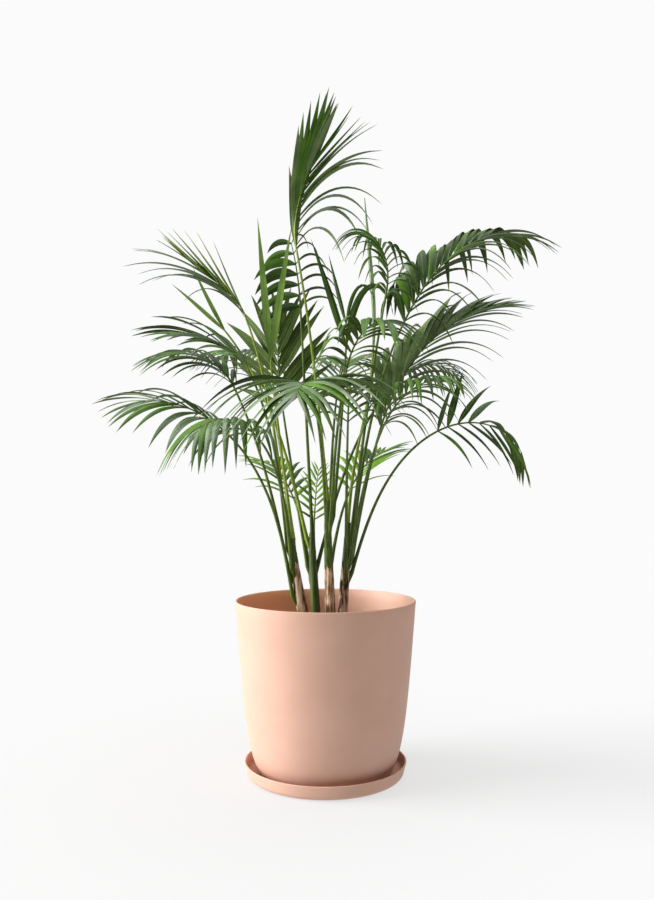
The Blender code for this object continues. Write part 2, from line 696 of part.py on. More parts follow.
def close_outward(mesh):
    # A closed mesh with all its faces turned outwards
    shell = bmesh.new()
    shell.from_mesh(mesh)
    bmesh.ops.recalc_face_normals(shell, faces=shell.faces)
    if shell.calc_volume(signed=True) < 0:
        bmesh.ops.reverse_faces(shell, faces=shell.faces)
    shell.to_mesh(mesh)
    shell.free()


def spear_data():
    # The stalk and the folded blade of the youngest leaf, along one line from the top of the right stem
    stem = STEMS["stem_right"]
    count = round((SPEAR_STALK + SPEAR_BLADE) / SPEAR_STEP)
    neck = round(SPEAR_STALK / SPEAR_STEP)
    places = [Vector(stem.places[-1]) + Vector((0.0, 0.0, GAP))]
    for index in range(count):
        lean = math.radians(between(SPEAR_RUNS, SPEAR_LEANS, (index + 0.5) * SPEAR_STEP))
        places.append(places[-1] + Vector((math.sin(lean), 0.0, math.cos(lean))) * SPEAR_STEP)
    stalk_radii = [
        between((0, neck), (STALK_FOOT_RADIUS, STALK_NECK_RADIUS), index)
        for index in range(neck + 1)
    ]
    blade = places[neck:]
    blade[0] = blade[0] + (blade[1] - blade[0]).normalized() * GAP
    blade_radii = [
        max(RIB_TIP_RADIUS, SPEAR_RADIUS * math.sin(math.pi * between((0, count - neck), SPEAR_SWELL, index)))
        for index in range(count - neck + 1)
    ]
    return (places[:neck + 1], stalk_radii), (blade, blade_radii)


def make_fronds(stalk_finish, leaf_finish):
    space = Space()
    for item in list(bpy.context.scene.objects):
        corners = [item.matrix_world @ corner.co for corner in item.data.vertices]
        space.add(item.name, "whole", corners, [tuple(face.vertices) for face in item.data.polygons])
    stalk, blade = spear_data()
    make_tube("stalk_spear", *stalk, STALK_SIDES, stalk_finish, level_foot=True)
    make_tube("frond_spear", *blade, SPEAR_SIDES, leaf_finish)
    space.add("stalk_spear", "whole", *tube_data(*stalk, STALK_SIDES))
    space.add("frond_spear", "whole", *tube_data(*blade, SPEAR_SIDES))
    for frond in FRONDS:
        places, radii = stalk_data(frond)
        make_tube("stalk_" + frond.name, places, radii, STALK_SIDES, stalk_finish, level_foot=on_top(frond))
        space.add("stalk_" + frond.name, "whole", *tube_data(places, radii, STALK_SIDES))
        space.add(frond.name, "rib", *rib_data(frond))
    for seed, frond in enumerate(FRONDS, start=1):
        mesh = build_mesh("frond_" + frond.name, *grow_frond(frond, space, seed))
        close_outward(mesh)
        add_object("frond_" + frond.name, mesh, leaf_finish)


def main():
    clear_scene()
    pot_finish = make_material("moulded matt terracotta", (0.74, 0.45, 0.35), 0.72)
    make_pot(pot_finish)
    make_saucer(pot_finish)
    make_soil(make_material("potting mix", (0.035, 0.022, 0.015), 0.95))
    stem_finish = make_material("fibrous sheath", (0.30, 0.19, 0.10), 0.80)
    for name, stem in STEMS.items():
        places, radii = stem_line(stem, 7)
        make_tube(name, places, radii, STEM_SIDES, stem_finish, level_foot=True, level_top=True)
    stalk_finish = make_material("leaf stalk", (0.13, 0.20, 0.04), 0.50)
    leaf_finish = make_material("leaf", (0.05, 0.13, 0.03), 0.45)
    make_fronds(stalk_finish, leaf_finish)


if __name__ == "__main__":
    main()
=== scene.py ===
import math
import random

import bmesh
import bpy
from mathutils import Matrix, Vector, noise


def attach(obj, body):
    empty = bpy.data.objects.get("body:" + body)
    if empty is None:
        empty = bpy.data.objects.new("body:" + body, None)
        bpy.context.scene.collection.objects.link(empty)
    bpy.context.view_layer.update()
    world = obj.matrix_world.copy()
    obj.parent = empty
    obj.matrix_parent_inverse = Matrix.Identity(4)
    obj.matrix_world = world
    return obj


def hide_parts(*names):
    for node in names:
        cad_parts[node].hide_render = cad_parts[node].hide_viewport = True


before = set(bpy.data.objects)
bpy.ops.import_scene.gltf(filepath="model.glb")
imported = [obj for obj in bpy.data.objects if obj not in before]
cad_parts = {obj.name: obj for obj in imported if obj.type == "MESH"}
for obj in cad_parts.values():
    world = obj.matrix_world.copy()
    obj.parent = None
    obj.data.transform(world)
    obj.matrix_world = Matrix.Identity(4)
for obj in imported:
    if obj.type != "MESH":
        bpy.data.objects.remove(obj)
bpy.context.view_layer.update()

# Metres, +Z up, with the saucer's underside at 0. The photograph looks along +Y.


def linear(hexText):
    # An sRGB hex colour as the linear colour that shaders take
    parts = [int(hexText[i:i + 2], 16) / 255 for i in (1, 3, 5)]
    return tuple(c / 12.92 if c <= 0.04045 else ((c + 0.055) / 1.055) ** 2.4 for c in parts) + (1.0,)


def addNode(tree, kind, inputs=None, **settings):
    node = tree.nodes.new(kind)
    for key, value in settings.items():
        setattr(node, key, value)
    for key, value in (inputs or {}).items():
        if isinstance(value, bpy.types.NodeSocket):
            tree.links.new(value, node.inputs[key])
        else:
            node.inputs[key].default_value = value
    return node


def newMaterial(name, roughness, gloss):
    material = bpy.data.materials.new(name)
    material.use_nodes = True
    shader = material.node_tree.nodes["Principled BSDF"]
    shader.inputs["Roughness"].default_value = roughness
    shader.inputs["Specular IOR Level"].default_value = gloss
    return material, material.node_tree, shader


def paint(tree, shader, factor, stops):
    # Colours a surface by a ramp through (place, hex colour) stops
    ramp = addNode(tree, "ShaderNodeValToRGB", {"Fac": factor})
    while len(ramp.color_ramp.elements) < len(stops):
        ramp.color_ramp.elements.new(0.5)
    for element, (place, hexText) in zip(ramp.color_ramp.elements, stops):
        element.position = place
        element.color = linear(hexText)
    tree.links.new(ramp.outputs["Color"], shader.inputs["Base Color"])


def addBump(tree, shader, height, distance):
    bump = addNode(tree, "ShaderNodeBump", {"Height": height, "Distance": distance})
    tree.links.new(bump.outputs["Normal"], shader.inputs["Normal"])


def objectNoise(tree, size, detail=3.0, stretch=(1, 1, 1)):
    # Noise whose main lumps are size metres across, on Object coordinates
    place = addNode(tree, "ShaderNodeTexCoord")
    mapping = addNode(tree, "ShaderNodeMapping", {"Vector": place.outputs["Object"], "Scale": stretch})
    settings = {"Vector": mapping.outputs["Vector"], "Scale": 1 / size, "Detail": detail}
    return addNode(tree, "ShaderNodeTexNoise", settings).outputs["Fac"]


# Moulded polypropylene tinted like terracotta: matt, with a faint orange-peel skin and slight clouding. Its
# wall is thin enough for some daylight to glow through to the inside. Sizes are in metres.
potSkin = {
    "roughness": 0.58, "gloss": 0.4, "colours": ((0.35, "#C89E8A"), (0.65, "#CDA38F")),
    "clouds": 0.09, "peel": 0.0012, "peelDepth": 0.00008, "glowReach": 0.014, "glowTint": (1.0, 0.85, 0.70),
}


def makePotMaterial(name, glow):
    material, tree, shader = newMaterial(name, potSkin["roughness"], potSkin["gloss"])
    paint(tree, shader, objectNoise(tree, potSkin["clouds"]), potSkin["colours"])
    addBump(tree, shader, objectNoise(tree, potSkin["peel"], 2.0), potSkin["peelDepth"])
    shader.inputs["Subsurface Weight"].default_value = glow
    shader.inputs["Subsurface Radius"].default_value = potSkin["glowTint"]
    shader.inputs["Subsurface Scale"].default_value = potSkin["glowReach"]
    return material


# Potting mix: peat and bark crumbs a few millimetres across, matt and dark
mixSkin = {
    "roughness": 0.95, "gloss": 0.2, "crumbs": 0.006, "depth": 0.004,
    "colours": ((0.3, "#2A2019"), (0.55, "#513D2D"), (0.75, "#7A614A")),
}


def makeMixMaterial():
    material, tree, shader = newMaterial("peatPottingMix", mixSkin["roughness"], mixSkin["gloss"])
    crumbs = objectNoise(tree, mixSkin["crumbs"], 5.0)
    paint(tree, shader, crumbs, mixSkin["colours"])
    addBump(tree, shader, crumbs, mixSkin["depth"])
    return material


# Dry leaf sheath: papery, fibrous and matt, weathered in patches. Its strands are under a millimetre wide,
# and drawn 3.5 mm wide so that they show.
sheathSkin = {
    "roughness": 0.85, "gloss": 0.2, "strands": 0.0035, "strandStretch": (1, 1, 0.08),
    "patches": 0.014, "patchStretch": (1, 1, 0.45), "depth": 0.0012,
}


def makeSheathMaterial(name, stops):
    material, tree, shader = newMaterial(name, sheathSkin["roughness"], sheathSkin["gloss"])
    strands = objectNoise(tree, sheathSkin["strands"], 3.0, sheathSkin["strandStretch"])
    patches = objectNoise(tree, sheathSkin["patches"], 4.0, sheathSkin["patchStretch"])
    both = addNode(tree, "ShaderNodeMath", {0: strands, 1: patches}, operation="ADD")
    worn = addNode(tree, "ShaderNodeMath", {0: both.outputs[0], 1: 0.5}, operation="MULTIPLY").outputs[0]
    paint(tree, shader, worn, stops)
    addBump(tree, shader, strands, sheathSkin["depth"])
    return material


# Living sheath and stalk: smooth waxy skin, ribbed along its length. The ribs are drawn 4 mm wide to show.
stalkSkin = {"roughness": 0.45, "gloss": 0.25, "ribs": 0.004, "stretch": (1, 1, 0.05), "depth": 0.0003}


def makeStalkMaterial(name, dark, light):
    material, tree, shader = newMaterial(name, stalkSkin["roughness"], stalkSkin["gloss"])
    ribs = objectNoise(tree, stalkSkin["ribs"], 2.0, stalkSkin["stretch"])
    paint(tree, shader, ribs, ((0.3, dark), (0.7, light)))
    addBump(tree, shader, ribs, stalkSkin["depth"])
    return material


# Leaf blade: waxy cuticle, a little cloudy, with fine veins 1.2 mm apart that run along the leaflet. Its UVs
# are metres across and along the leaflet.
leafSkin = {"clouds": 0.05, "veins": 0.0012, "depth": 0.000012}


def makeLeafMaterial(name, dark, light, roughness, gloss):
    material, tree, shader = newMaterial(name, roughness, gloss)
    paint(tree, shader, objectNoise(tree, leafSkin["clouds"], 2.0), ((0.38, dark), (0.62, light)))
    place = addNode(tree, "ShaderNodeTexCoord")
    split = addNode(tree, "ShaderNodeSeparateXYZ", {"Vector": place.outputs["UV"]})
    turns = math.tau / leafSkin["veins"]
    veins = addNode(tree, "ShaderNodeMath", {0: split.outputs["X"], 1: turns}, operation="MULTIPLY")
    wave = addNode(tree, "ShaderNodeMath", {0: veins.outputs[0]}, operation="SINE")
    addBump(tree, shader, wave.outputs[0], leafSkin["depth"])
    return material


materials = {
    "pot": makePotMaterial("mouldedTerracottaPink", 0.0),
    "potInside": makePotMaterial("mouldedTerracottaPinkInside", 0.55),
    "mix": makeMixMaterial(),
    "tanSheath": makeSheathMaterial("tanSheath", ((0.42, "#4A3725"), (0.50, "#9C7956"), (0.58, "#DEC2A4"))),
    "darkSheath": makeSheathMaterial("darkSheath", ((0.44, "#1F160E"), (0.50, "#664B37"), (0.56, "#CDB299"))),
    "greenSheath": makeStalkMaterial("greenSheath", "#34401F", "#5F7035"),
    "stalk": makeStalkMaterial("yellowGreenStalk", "#64781F", "#93A53C"),
    "darkStalk": makeStalkMaterial("darkGreenStalk", "#34460F", "#5E7426"),
    "midrib": makeStalkMaterial("paleMidrib", "#4F6A2C", "#748F45"),
    "dryTip": makeSheathMaterial("driedLeafTip", ((0.4, "#6F5638"), (0.5, "#A08458"), (0.6, "#C9B184"))),
}
# Kinds of leaf blade: the darker and the lighter green, the roughness and the gloss
leafTones = {
    "deep": ("#22380C", "#355411", 0.36, 0.3),
    "middle": ("#3D5F16", "#50791C", 0.38, 0.3),
    "fresh": ("#618F18", "#79A826", 0.42, 0.3),
    # The young and lime blades are lighter yellow-green partly in their own colour and partly by painted
    # light: the glow of light through their thin blades is painted into the colour.
    "young": ("#5F7D33", "#7C9B48", 0.42, 0.3),
    "lime": ("#84963A", "#A2B556", 0.42, 0.3),
    "olive": ("#556A38", "#6E8650", 0.34, 0.45),
    "pale": ("#7F9468", "#97AB82", 0.50, 0.3),
    "grey": ("#526E3F", "#728C60", 0.24, 0.9),
    "under": ("#38491B", "#495D24", 0.60, 0.12),
}
for tone, (dark, light, roughness, gloss) in leafTones.items():
    materials[tone] = makeLeafMaterial(tone + "LeafBlade", dark, light, roughness, gloss)
print("materials made")

# Camera: level, at the photograph's distance, with the small shift that its framing needs
view = {"place": (0.003, -1.647, 0.568), "lens": 32.88, "shift": 0.0433}
camera = bpy.data.objects.new("camera", bpy.data.cameras.new("camera"))
bpy.context.scene.collection.objects.link(camera)
camera.location = view["place"]
camera.rotation_euler = (math.radians(90), 0, 0)
camera.data.lens = view["lens"]
camera.data.sensor_width = 36
camera.data.shift_y = view["shift"]
bpy.context.scene.camera = camera

# Pale studio: one broad soft light from the left, a little above, and a surround that is plain white to the
# camera and lights the plant mostly from overhead. The matt white floor gives off some light of its own, so
# that the shadow on it stays pale.
studio = {
    "surround": 0.966, "dim": 0.12, "overhead": 2.6, "overheadPower": 4.0, "key": 6.6, "spread": 45,
    "from": (-1.0, -0.06, 0.33), "floor": 0.20, "lift": 0.637, "floorRadius": 9.0, "floorDrop": 0.0005,
}
bpy.context.scene.view_settings.view_transform = "Standard"
world = bpy.data.worlds.new("studio")
bpy.context.scene.world = world
world.use_nodes = True
sky = world.node_tree
skyPlace = addNode(sky, "ShaderNodeTexCoord").outputs["Generated"]
way = addNode(sky, "ShaderNodeSeparateXYZ", {"Vector": skyPlace})
upward = addNode(sky, "ShaderNodeMath", {0: way.outputs["Z"], 1: 0.0}, operation="MAXIMUM")
focus = addNode(sky, "ShaderNodeMath", {0: upward.outputs[0], 1: studio["overheadPower"]}, operation="POWER")
glow = addNode(sky, "ShaderNodeMath", {0: focus.outputs[0], 1: studio["overhead"]}, operation="MULTIPLY")
lit = addNode(sky, "ShaderNodeMath", {0: glow.outputs[0], 1: studio["dim"]}, operation="ADD")
seen = addNode(sky, "ShaderNodeLightPath").outputs["Is Camera Ray"]
white = {"Value": seen, "To Min": lit.outputs[0], "To Max": studio["surround"]}
strength = addNode(sky, "ShaderNodeMapRange", white)
backdrop = sky.nodes["Background"]
backdrop.inputs["Color"].default_value = (1.0, 1.0, 1.0, 1.0)
sky.links.new(strength.outputs["Result"], backdrop.inputs["Strength"])
sun = bpy.data.objects.new("softKey", bpy.data.lights.new("softKey", "SUN"))
bpy.context.scene.collection.objects.link(sun)
sun.data.energy = studio["key"]
sun.data.angle = math.radians(studio["spread"])
sun.rotation_euler = Vector(studio["from"]).to_track_quat("Z", "Y").to_euler()

bpy.ops.object.select_all(action="DESELECT")
floorPlace = (0, 0, -studio["floorDrop"])
bpy.ops.mesh.primitive_circle_add(
    vertices=64, radius=studio["floorRadius"], fill_type="NGON", location=floorPlace)
floor = bpy.context.object
floor.name = "floor"
floorMaterial, floorTree, floorShader = newMaterial("whiteFloor", 0.9, 0.0)
floorShader.inputs["Base Color"].default_value = (studio["floor"], studio["floor"], studio["floor"], 1.0)
floorShader.inputs["Emission Color"].default_value = (1.0, 1.0, 1.0, 1.0)
floorShader.inputs["Emission Strength"].default_value = studio["lift"]
floor.data.materials.append(floorMaterial)
print("camera, light and floor placed")


def settle(piece, nodes, finish=None, smooth=40):
    # Gives a finished piece its finish and its body, and hides the nodes that it stands for. Its edges
    # are drawn smooth up to an angle in degrees.
    if finish:
        piece.data.materials.clear()
        piece.data.materials.append(materials[finish])
    piece.data.shade_smooth()
    piece.data.set_sharp_from_angle(angle=math.radians(smooth))
    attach(piece, "root")
    if nodes:
        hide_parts(*nodes)


def turnPiece(name, rings, steps):
    # A round piece: a circle at the first ring, extruded through the others, and closed at both ends
    bpy.ops.object.select_all(action="DESELECT")
    bpy.ops.mesh.primitive_circle_add(vertices=steps, radius=rings[0][0], location=(0, 0, 0))
    piece = bpy.context.object
    piece.name = name
    piece.data.name = name
    for corner in piece.data.vertices:
        corner.co.z = rings[0][1]
    bpy.ops.object.mode_set(mode="EDIT")
    bpy.ops.mesh.select_mode(type="EDGE")
    bpy.ops.mesh.select_all(action="SELECT")
    radius, height = rings[0]
    for newRadius, newHeight in rings[1:]:
        bpy.ops.mesh.extrude_region_move(TRANSFORM_OT_translate={"value": (0, 0, newHeight - height)})
        factor = newRadius / radius
        bpy.ops.transform.resize(value=(factor, factor, 1), center_override=(0, 0, newHeight))
        radius, height = newRadius, newHeight
    bpy.ops.mesh.edge_face_add()
    bpy.ops.mesh.select_all(action="DESELECT")
    bpy.ops.mesh.select_non_manifold(extend=False)
    bpy.ops.mesh.edge_face_add()
    bpy.ops.mesh.select_all(action="SELECT")
    bpy.ops.mesh.normals_make_consistent(inside=False)
    bpy.ops.object.mode_set(mode="OBJECT")
    return piece


def bezierAt(share, ends):
    # The radius and height at a share of a cubic curve
    low = 1 - share
    weights = (low**3, 3 * low * low * share, 3 * low * share * share, share**3)
    return tuple(sum(weight * end[axis] for weight, end in zip(weights, ends)) for axis in (0, 1))


def arcRings(radius, height, reach, start, end, count):
    # Rings round a bend: its angle runs from start to end, 0 outwards and 90 up
    rings = []
    for index in range(count + 1):
        angle = math.radians(start + (end - start) * index / count)
        rings.append((radius + reach * math.cos(angle), height + reach * math.sin(angle)))
    return rings


# The pot stands on the saucer's floor, seat above the ground. Its side is one cubic curve from the rim down
# to the foot, pulled towards belly and flare. hub is the small ring in the middle of a round face.
pot = {
    "height": 0.347, "rim": 0.180, "foot": 0.120, "belly": (0.166, 0.165), "flare": 0.157, "seat": 0.0063,
    "wall": 0.0042, "floor": 0.006, "hub": 0.004, "footRing": 0.03, "floorBend": 0.004,
    "lip": (15, 165), "lipRings": 8, "steps": 128, "sideRings": 30,
}


def potSide(top, count):
    # The outer side of the pot, from its foot up to a rim at height top
    ends = ((pot["rim"], top), pot["belly"], (pot["flare"], pot["seat"]), (pot["foot"], pot["seat"]))
    return [bezierAt(index / count, ends) for index in range(count + 1)][::-1]


def makePot():
    half = pot["wall"] / 2
    floorTop = pot["seat"] + pot["floor"]
    side = potSide(pot["height"] - half, pot["sideRings"])
    lip = arcRings(pot["rim"] - half, pot["height"] - half, half, *pot["lip"], pot["lipRings"])
    inside = [(radius - pot["wall"], height) for radius, height in side[::-1] if height > floorTop]
    rings = [(pot["hub"], pot["seat"]), (pot["foot"] - pot["footRing"], pot["seat"])]
    rings += side + lip[:-1] + inside[1:]
    rings += [(inside[-1][0] - pot["floorBend"], floorTop), (pot["hub"], floorTop)]
    piece = turnPiece("pot_shell", rings, pot["steps"])
    settle(piece, ["pot"], "pot")
    piece.data.materials.append(materials["potInside"])
    for face in piece.data.polygons:
        if face.normal.x * face.center.x + face.normal.y * face.center.y < 0:
            face.material_index = 1  # the faces that look towards the stems


saucer = {
    "base": 0.145, "rim": 0.1613, "height": 0.029, "corner": 0.012, "wall": 0.0035, "floor": 0.006,
    "hub": 0.004, "bendRings": 8, "steps": 128,
}


def makeSaucer():
    corner = saucer["corner"]
    bend = corner - saucer["wall"]
    half = saucer["wall"] / 2
    count = saucer["bendRings"]
    outside = arcRings(saucer["base"], corner, corner, -90, 0, count)
    lip = arcRings(saucer["rim"] - half, saucer["height"] - half, half, 0, 180, count)
    inside = arcRings(saucer["base"], saucer["floor"] + bend, bend, 0, -90, count)
    rings = [(saucer["hub"], 0.0)] + outside + lip + inside + [(saucer["hub"], saucer["floor"])]
    settle(turnPiece("saucer_dish", rings, saucer["steps"]), ["saucer"], "pot")


makePot()
makeSaucer()
print("pot and saucer made")

# Potting mix: a core that fills the pot, just clear of its wall, under an uneven crust
mix = {
    "top": 0.277, "drop": 0.002, "edge": 0.1655, "hub": 0.004, "crustRings": 20,  # the flat of the crust
    "wave": 0.0035, "lumps": 60,  # how uneven it is, and how finely
    "lift": 0.0004, "base": 0.006, "heel": 0.001, "gap": 0.0012, "shoulder": 0.004,  # the core under it
    "sideRings": 60, "every": 4, "steps": 96,
}
# The crumbs on it: their radii from least to most, and more of them small. Each is stretched and dented.
crumb = {
    "count": 1500, "seed": 4, "least": 0.0016, "most": 0.0055, "small": 2.5, "margin": 0.003, "proud": 0.15,
    "stretches": ((0.6, 1.5), (0.5, 1.0), (0.25, 0.7)), "dents": (0.75, 1.2),
}


def unevenness(place):
    return mix["wave"] * noise.fractal(place * mix["lumps"], 1.0, 2.0, 4)


def makeMix():
    bottom = pot["seat"] + pot["floor"] + mix["lift"]
    low = bottom + mix["heel"]
    high = mix["top"] - mix["shoulder"]
    side = potSide(pot["height"], mix["sideRings"])
    side = [(radius - pot["wall"] - mix["gap"], height) for radius, height in side if low < height < high]
    rings = [(mix["base"], bottom)] + side[::mix["every"]]
    crust = mix["top"] - mix["drop"]
    for index in range(mix["crustRings"]):
        rings.append((mix["edge"] * (1 - index / mix["crustRings"]) + mix["hub"], crust))
    piece = turnPiece("mix_crust", rings, mix["steps"])
    for corner in piece.data.vertices:
        if corner.co.z > high:
            corner.co.z += unevenness(corner.co)
    settle(piece, ["soil"], "mix", smooth=80)

    chance = random.Random(crumb["seed"])
    dents = crumb["dents"]
    shell = bmesh.new()
    for _ in range(crumb["count"]):
        angle = chance.uniform(0, math.tau)
        out = (mix["edge"] - crumb["margin"]) * math.sqrt(chance.random())
        size = crumb["least"] + (crumb["most"] - crumb["least"]) * chance.random() ** crumb["small"]
        place = Vector((out * math.cos(angle), out * math.sin(angle), 0.0))
        place.z = crust + unevenness(place) + size * crumb["proud"]
        made = bmesh.ops.create_icosphere(shell, subdivisions=1, radius=size)
        stretch = Vector([chance.uniform(*limits) for limits in crumb["stretches"]])
        turn = chance.uniform(0, math.tau)
        for corner in made["verts"]:
            local = Vector([corner.co[axis] * stretch[axis] * chance.uniform(*dents) for axis in range(3)])
            x = local.x * math.cos(turn) - local.y * math.sin(turn)
            y = local.x * math.sin(turn) + local.y * math.cos(turn)
            corner.co = place + Vector((x, y, local.z))
    mesh = bpy.data.meshes.new("mix_crumbs")
    shell.to_mesh(mesh)
    shell.free()
    crumbs = bpy.data.objects.new("mix_crumbs", mesh)
    bpy.context.scene.collection.objects.link(crumbs)
    settle(crumbs, [], "mix", smooth=30)


makeMix()
print("potting mix made")


def meshPiece(name, corners, faces, finishes, picks, nodes, smooth):
    # One joined mesh from lists of corners and faces, with a finish picked for every face
    mesh = bpy.data.meshes.new(name)
    mesh.from_pydata(corners, [], faces)
    for finish in finishes:
        mesh.materials.append(materials[finish])
    mesh.polygons.foreach_set("material_index", picks)
    mesh.update()
    piece = bpy.data.objects.new(name, mesh)
    bpy.context.scene.collection.objects.link(piece)
    settle(piece, nodes, smooth=smooth)
    return piece


def mixed(start, end, share):
    return start + (end - start) * share


def eased(share):
    share = min(1.0, max(0.0, share))
    return share * share * (3 - 2 * share)


# Stems stand on the mix. Each goes through three places, given across, back and up, with a radius at each.
# A skin is the finish of the foot, that of the head, and the height where the one gives way to the other.
footHeight = mix["top"] + 0.0003
stems = {
    "left": {
        "places": ((-0.036, -0.012, footHeight), (-0.061, -0.014, 0.415), (-0.064, -0.014, 0.470)),
        "radii": (0.0120, 0.0085, 0.0050),
        "skin": ("tanSheath", "greenSheath", 0.42),
    },
    "middle_left": {
        "places": ((-0.017, 0.022, footHeight), (-0.026, 0.024, 0.430), (-0.027, 0.025, 0.480)),
        "radii": (0.0095, 0.0075, 0.0050),
        "skin": ("greenSheath", "greenSheath", 0.33),
    },
    "middle_right": {
        "places": ((0.012, -0.020, footHeight), (0.006, -0.021, 0.430), (0.004, -0.022, 0.546)),
        "radii": (0.0105, 0.0085, 0.0060),
        "skin": ("tanSheath", "greenSheath", 0.41),
    },
    "right": {
        "places": ((0.032, 0.008, footHeight), (0.041, 0.010, 0.415), (0.046, 0.012, 0.500)),
        "radii": (0.0105, 0.0085, 0.0050),
        "skin": ("darkSheath", "greenSheath", 0.42),
    },
}
# The relief on a stem, over the share core of its radius: sheaths wrapped round it, which end on a slant one
# above another and thin out round it, with strands along them and scars across them
sheath = {
    "rings": 90, "sides": 28, "core": 0.93, "wraps": 5, "spare": 0.6, "lap": 0.0016, "thin": 0.75,
    "slant": 0.10, "turn": 1.4, "edge": 40, "strand": 0.0006, "strandsRound": 9, "strandsUp": 2.5,
    "scar": 0.0007, "scarsUp": 60, "scarTilt": 1.5, "scarGap": 0.6, "jag": 0.016, "jagsRound": 0.6,
}


def stemAt(stem, share):
    # The middle and radius of a stem at a share of its length, on one curve through its three places
    foot, shoulder, top = (Vector(place) for place in stem["places"])
    weights = ((1 - share) * (1 - 2 * share), 4 * share * (1 - share), share * (2 * share - 1))
    place = foot * weights[0] + shoulder * weights[1] + top * weights[2]
    return place, sum(weight * radius for weight, radius in zip(weights, stem["radii"]))


def stemAtHeight(stem, height):
    count = 24
    steps = [stemAt(stem, index / count) for index in range(count + 1)]
    for (low, lowRadius), (high, highRadius) in zip(steps, steps[1:]):
        if height <= high.z:
            share = (height - low.z) / (high.z - low.z)
            return low.lerp(high, share), mixed(lowRadius, highRadius, share)
    return steps[-1]


def makeStem(name, stem, seed):
    # A tube with the relief of leaf sheaths that wrap over each other in slanting laps
    foot, head, upTo = stem["skin"]
    chance = random.Random(seed)
    starts = [chance.uniform(0, math.tau) for _ in range(sheath["wraps"])]
    corners = []
    faces = []
    picks = []
    sides = sheath["sides"]
    for ring in range(sheath["rings"] + 1):
        share = ring / sheath["rings"]
        place, radius = stemAt(stem, share)
        for side in range(sides):
            angle = math.tau * side / sides
            x = math.cos(angle)
            y = math.sin(angle)
            lap = 0.0
            for wrap, start in enumerate(starts):
                turn = (angle - start - share * sheath["turn"]) % math.tau
                edge = (wrap + 1) / (sheath["wraps"] + sheath["spare"]) + sheath["slant"] * math.cos(turn / 2)
                cover = eased((edge - share) * sheath["edge"])
                lap += sheath["lap"] * cover * (1 - sheath["thin"] * turn / math.tau) / sheath["wraps"]
            around = sheath["strandsRound"]
            strand = noise.noise(Vector((x * around, y * around, share * sheath["strandsUp"] + seed)))
            scar = max(0.0, math.sin(share * sheath["scarsUp"] + y * sheath["scarTilt"]) - sheath["scarGap"])
            reach = radius * sheath["core"] + lap + sheath["strand"] * strand + sheath["scar"] * scar
            corners.append(place + Vector((x, y, 0)) * reach)
    for ring in range(sheath["rings"]):
        height = corners[ring * sides].z
        for side in range(sides):
            near = ring * sides
            after = (side + 1) % sides
            faces.append((near + side, near + after, near + sides + after, near + sides + side))
            jag = sheath["jag"] * noise.noise(Vector((side * sheath["jagsRound"], seed, 0.0)))
            picks.append(0 if height + jag < upTo else 1)
    faces += [tuple(reversed(range(sides))), tuple(range(len(corners) - sides, len(corners)))]
    picks += [0, 1]
    meshPiece("sheath_" + name, corners, faces, [foot, head], picks, ["stem_" + name], smooth=80)


for seed, (name, stem) in enumerate(stems.items(), start=1):
    makeStem(name, stem, seed)
print("stems made")

